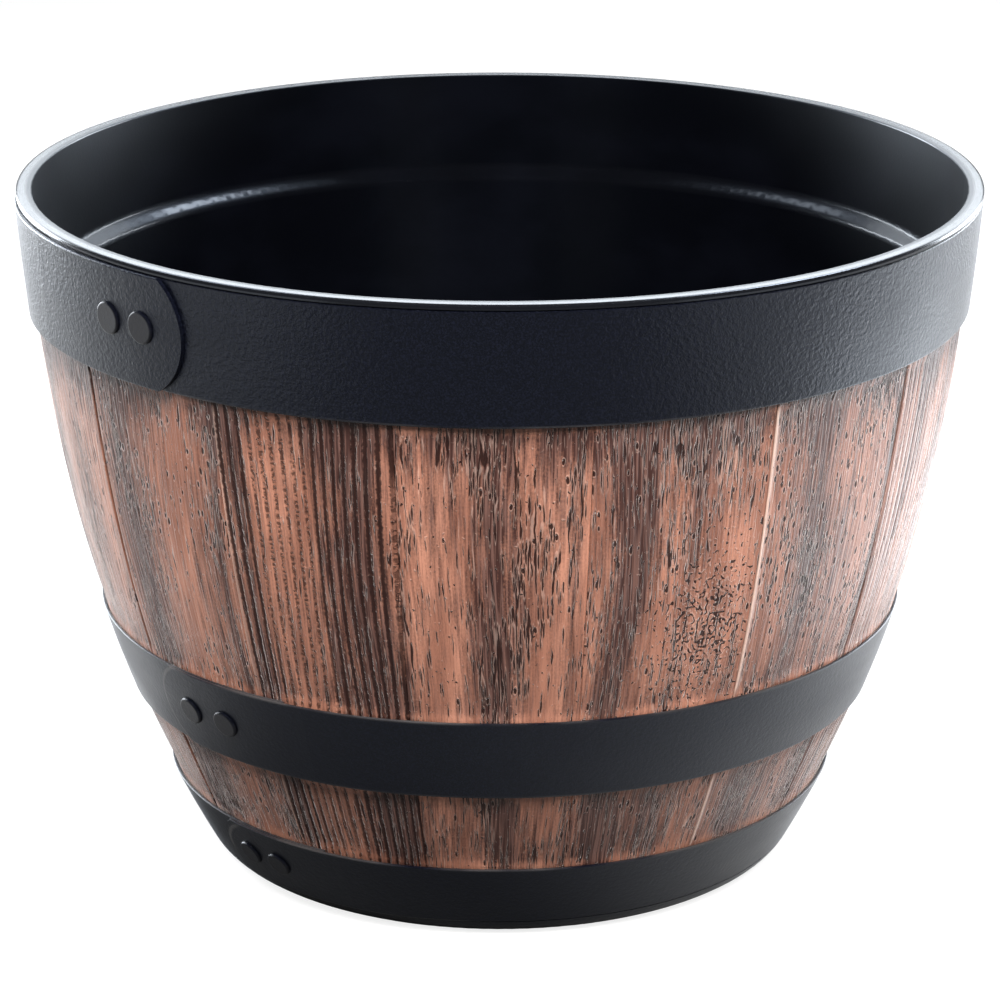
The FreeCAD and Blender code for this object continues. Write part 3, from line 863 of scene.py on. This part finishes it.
def hoop_paint(name, hoops, edges, pebble_share, tab=None):
    """Charcoal resin with a pebbled skin, with painted highlights along its edges and round a lower
    hoop's tab.
    """
    finish = Finish(name)
    place = finish.place()
    grain = finish.even_noise(place, hoops.pebble)
    pores = finish.even_noise(place, hoops.pore, detail=1.0)
    blotch = finish.noise(place, (28 * MM, 28 * MM, 12 * MM), detail=3.0)
    # Painted highlight along the straps' edges, in blotches, and round a lower hoop's tab
    band = edge_band(finish, finish.axes(place)["Z"], edges, hoops.edge_width)
    edge_highlight = finish.product(finish.rise(blotch, 0.30, 0.65), band)
    colour = finish.paler(pores, 0.40, 0.70, hoops.paint, times=2.6)
    colour = finish.mix(finish.product(edge_highlight, hoops.highlight_cover), colour, solid(hoops.edge))
    if tab:
        colour = finish.mix(tab_highlight(finish, place, tab), colour, solid(hoops.edge))
    finish.bump(finish.add_share(grain, 0.35, pores), hoops.pebble_depth * pebble_share)
    roughness = finish.uneven(hoops.roughness, 0.2, blotch)
    finish.set(Base_Color=colour, Roughness=roughness, IOR=1.4, Specular_Tint=HOOP_GLOSS)
    finish.set(Sheen_Weight=0.12, Sheen_Roughness=0.12, Sheen_Tint=HOOP_SHEEN)
    return finish.material


def rivet_paint(hoops):
    """The same charcoal, rubbed smooth on the rivets' heads."""
    finish = Finish("rivet_charcoal")
    grain = finish.even_noise(finish.place(), 0.9 * MM, detail=3.0)
    colour = finish.paler(grain, 0.4, 0.7, hoops.paint, times=2.0)
    finish.bump(grain, 0.05 * MM)
    finish.set(Base_Color=colour, Roughness=finish.add_share(hoops.rivet_roughness, 0.2, grain), IOR=1.4)
    return finish.material


def liner_resin(settings):
    """Satin black resin, smoother on the lip, with faint flow marks down the wall."""
    finish = Finish("liner_resin")
    place = finish.place()
    from_axis = finish.vector("LENGTH", finish.vector("MULTIPLY", place, (1.0, 1.0, 0.0)))
    start, whole = (LIP_RADIUS - inset for inset in LIP_SHINE)
    lip_low = HEIGHT - LIP_HEIGHT
    high_up = finish.rise(finish.axes(place)["Z"], lip_low - LIP_BLEND, lip_low)
    lip = finish.product(finish.rise(from_axis, start, whole), high_up)
    flow = finish.noise(place, (40 * MM, 40 * MM, 25 * MM), detail=3.0)
    colour = finish.paler(flow, 0.4, 0.75, settings.liner, times=2.0)
    colour = finish.mix(lip, colour, solid(settings.lip))
    roughness = finish.uneven(settings.wall_roughness, 0.12, flow)
    roughness = finish.add_share(roughness, -settings.lip_polish, lip)
    finish.bump(finish.even_noise(place, 0.8 * MM), 0.03 * MM)
    finish.set(Base_Color=colour, Roughness=roughness, IOR=1.35, Specular_Tint=LINER_GLOSS)
    finish.set(Coat_Weight=0.3, Coat_Roughness=0.14, Coat_IOR=1.4)
    return finish.material


def plug_rubber(settings):
    """Matt rubber with a dusty bloom."""
    finish = Finish("plug_rubber")
    place = finish.place()
    bloom = finish.even_noise(place, 5 * MM, detail=4.0)
    colour = finish.paler(bloom, 0.45, 0.75, settings.plug, times=2.5)
    finish.bump(finish.even_noise(place, 0.5 * MM), 0.05 * MM)
    finish.set(Base_Color=colour, Roughness=finish.add_share(settings.plug_roughness, 0.2, bloom))
    return finish.material


def head_resin(settings):
    """Plain moulded black with a coarse grain and scuffs."""
    finish = Finish("head_resin")
    place = finish.place()
    scuff = finish.noise(place, (30 * MM, 22 * MM, 5 * MM), detail=4.0)
    colour = finish.paler(scuff, 0.45, 0.75, settings.head, times=2.4)
    grain = finish.noise(place, (2.2 * MM, 14 * MM, 2 * MM), detail=3.0)
    finish.bump(grain, 0.15 * MM)
    finish.set(Base_Color=colour, Roughness=finish.add_share(settings.head_roughness, 0.3, scuff))
    return finish.material


def packed_node(name):
    """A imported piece's object, or an error if the model lacks it."""
    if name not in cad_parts:
        raise RuntimeError(f"the packed model has no piece called {name}")
    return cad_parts[name]


def dress(name, material):
    """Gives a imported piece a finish."""
    piece = packed_node(name)
    piece.data.materials.clear()
    piece.data.materials.append(material)


class PLANTER_OT_staves(bpy.types.Operator):
    """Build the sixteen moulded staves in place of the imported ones"""

    bl_idname = "planter.staves"
    bl_label = "Build staves"

    def execute(self, context):
        wood = context.scene.planter_wood
        finish = stave_wood(wood)
        for number in range(1, STAVE_COUNT + 1):
            stave = make_stave(number, wood, finish)
            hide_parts(f"stave_{number:02d}")
            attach(stave, "barrel")
        return {"FINISHED"}


class PLANTER_OT_hoops(bpy.types.Operator):
    """Paint the three hoops"""

    bl_idname = "planter.hoops"
    bl_label = "Paint hoops"

    def execute(self, context):
        hoops = context.scene.planter_hoops
        dress("top_hoop", hoop_paint("top_hoop_charcoal", hoops, TOP_HOOP[:1], pebble_share=1.0))
        for name, hoop in (("middle_hoop", MIDDLE_HOOP), ("base_hoop", BASE_HOOP)):
            dress(name, hoop_paint(f"{name}_charcoal", hoops, hoop, LOWER_PEBBLE_SHARE, tab=hoop))
        return {"FINISHED"}


class PLANTER_OT_rivets(bpy.types.Operator):
    """Paint the rivets of the three hoops"""

    bl_idname = "planter.rivets"
    bl_label = "Paint rivets"

    def execute(self, context):
        paint = rivet_paint(context.scene.planter_hoops)
        for hoop in ("top_hoop", "middle_hoop", "base_hoop"):
            dress(f"{hoop}_rivets", paint)
        return {"FINISHED"}


class PLANTER_OT_liner(bpy.types.Operator):
    """Finish the liner pot"""

    bl_idname = "planter.liner"
    bl_label = "Finish liner"

    def execute(self, context):
        dress("liner_pot", liner_resin(context.scene.planter_liner))
        return {"FINISHED"}


class PLANTER_OT_plug(bpy.types.Operator):
    """Finish the drain plug"""

    bl_idname = "planter.plug"
    bl_label = "Finish plug"

    def execute(self, context):
        dress("drain_plug", plug_rubber(context.scene.planter_liner))
        return {"FINISHED"}


class PLANTER_OT_head(bpy.types.Operator):
    """Finish the bottom head"""

    bl_idname = "planter.head"
    bl_label = "Finish head"

    def execute(self, context):
        dress("bottom_head", head_resin(context.scene.planter_liner))
        return {"FINISHED"}


def gloss_floor_with_painted_shade(finish, place):
    """How much of the floor shows in gloss: none right before the planter, where shade is painted, all
    behind and beside.
    """
    from_front = finish.vector("LENGTH", finish.vector("SUBTRACT", place, GLOSS_FRONT))
    axes = finish.axes(place)
    lean = finish.add_share(axes["Y"], GLOSS_LEFT_LEAN, finish.math("MINIMUM", axes["X"], 0.0))
    aside = finish.add_share(finish.math("ABSOLUTE", axes["X"]), GLOSS_WEDGE, axes["Y"])
    away = finish.rise(finish.vector("LENGTH", place), *GLOSS_AWAY)
    beside = finish.product(finish.rise(aside, *GLOSS_BESIDE), away)
    far_enough = finish.rise(from_front, *GLOSS_FROM_FRONT)
    return finish.product(far_enough, finish.most(finish.rise(lean, *GLOSS_BEHIND), beside))


def floor_paper(colour):
    """Pale paper that shows nearly white, keeps the planter's shadow and throws little light back up."""
    finish = Finish("floor_paper")
    place = finish.place()
    rays = finish.node("LightPath", {}).outputs
    # Painted shade: the floor is dark in gloss right before the planter
    glossy = finish.product(rays["Is Glossy Ray"], gloss_floor_with_painted_shade(finish, place))
    seen = finish.most(rays["Is Camera Ray"], glossy, rays["Is Transmission Ray"])
    fibres = finish.even_noise(place, 6 * MM, detail=4.0)
    tint = finish.mix(finish.rise(fibres, 0.2, 0.8), toned(colour, 0.99), solid(colour))
    tint = finish.mix(seen, toned(colour, FLOOR_THROW), tint)
    finish.set(Base_Color=tint, Roughness=0.9, Specular_IOR_Level=0.0)
    white = finish.node("Emission", {"Color": (1.0, 1.0, 1.0, 1.0)}).outputs[0]
    share = finish.product(seen, FLOOR_WHITE)
    mixed = finish.node("MixShader", {0: share, 1: finish.shader.outputs[0], 2: white})
    output = finish.tree.nodes["Material Output"]
    finish.feed(output.inputs["Surface"], mixed.outputs[0])
    return finish.material


def lay_floor(colour):
    """A broad round floor."""
    work = bmesh.new()
    bmesh.ops.create_circle(work, cap_ends=True, segments=FLOOR_SIDES, radius=FLOOR_REACH)
    mesh = bpy.data.meshes.new("studio_floor")
    work.to_mesh(mesh)
    work.free()
    mesh.materials.append(floor_paper(colour))
    floor = bpy.data.objects.new("studio_floor", mesh)
    bpy.context.collection.objects.link(floor)


def hang_light(name, lamp, level):
    """A soft rectangular lamp that the camera doesn't see."""
    light = bpy.data.lights.new(name, "AREA")
    light.shape = "RECTANGLE"
    light.size, light.size_y = lamp.size
    light.energy = lamp.share * level
    light.color = lamp.tint
    holder = bpy.data.objects.new(name, light)
    bpy.context.collection.objects.link(holder)
    holder.location = lamp.place
    toward = Vector(lamp.aim) - Vector(lamp.place)
    holder.rotation_euler = toward.to_track_quat("-Z", "Y").to_euler()
    holder.visible_camera = False
    holder.visible_glossy = lamp.glossy


def light_world(level):
    """Even light from all round, a little blue."""
    world = bpy.data.worlds.new("studio")
    bpy.context.scene.world = world
    world.use_nodes = True
    background = world.node_tree.nodes["Background"]
    background.inputs["Color"].default_value = WORLD_TINT
    background.inputs["Strength"].default_value = level


def set_camera():
    """The camera, at the photograph's angle."""
    lens = bpy.data.cameras.new("camera")
    lens.lens = CAMERA_LENS
    camera = bpy.data.objects.new("camera", lens)
    camera.location = CAMERA_PLACE
    camera.rotation_euler = (math.radians(90 - CAMERA_TILT), 0, 0)
    bpy.context.collection.objects.link(camera)
    bpy.context.scene.camera = camera


class PLANTER_OT_stage(bpy.types.Operator):
    """Set the floor, lights and camera"""

    bl_idname = "planter.stage"
    bl_label = "Set stage"

    def execute(self, context):
        stage = context.scene.planter_stage
        lay_floor(stage.floor)
        light_world(stage.world)
        for name, lamp in LAMPS.items():
            hang_light(name, lamp, getattr(stage, lamp.level))
        set_camera()
        context.scene.view_settings.view_transform = "Standard"
        return {"FINISHED"}


class PLANTER_PT_panel(bpy.types.Panel):
    """Lists the planter's settings and the steps that use them"""

    bl_idname = "PLANTER_PT_panel"
    bl_label = "Round planter"
    bl_space_type = "VIEW_3D"
    bl_region_type = "UI"
    bl_category = "Planter"

    def draw(self, context):
        for group in SETTINGS:
            settings = getattr(context.scene, group)
            box = self.layout.box()
            for name in settings.__annotations__:
                box.prop(settings, name)
        for operator in OPERATORS:
            self.layout.operator(operator.bl_idname)


SETTINGS = {
    "planter_wood": PlanterWood,
    "planter_hoops": PlanterHoops,
    "planter_liner": PlanterLiner,
    "planter_stage": PlanterStage,
}
OPERATORS = (
    PLANTER_OT_staves,
    PLANTER_OT_hoops,
    PLANTER_OT_rivets,
    PLANTER_OT_liner,
    PLANTER_OT_plug,
    PLANTER_OT_head,
    PLANTER_OT_stage,
)


def register():
    """Adds the settings, operators and panel."""
    for name, group in SETTINGS.items():
        bpy.utils.register_class(group)
        setattr(bpy.types.Scene, name, bpy.props.PointerProperty(type=group))
    for operator in OPERATORS:
        bpy.utils.register_class(operator)
    bpy.utils.register_class(PLANTER_PT_panel)


def unregister():
    """Takes them away again."""
    bpy.utils.unregister_class(PLANTER_PT_panel)
    for operator in reversed(OPERATORS):
        bpy.utils.unregister_class(operator)
    for name, group in SETTINGS.items():
        delattr(bpy.types.Scene, name)
        bpy.utils.unregister_class(group)


def main():
    """Dresses the planter and sets its stage."""
    register()
    bpy.ops.planter.staves()
    bpy.ops.planter.hoops()
    bpy.ops.planter.rivets()
    bpy.ops.planter.liner()
    bpy.ops.planter.plug()
    bpy.ops.planter.head()
    bpy.ops.planter.stage()


if __name__ == "__main__":
    main()
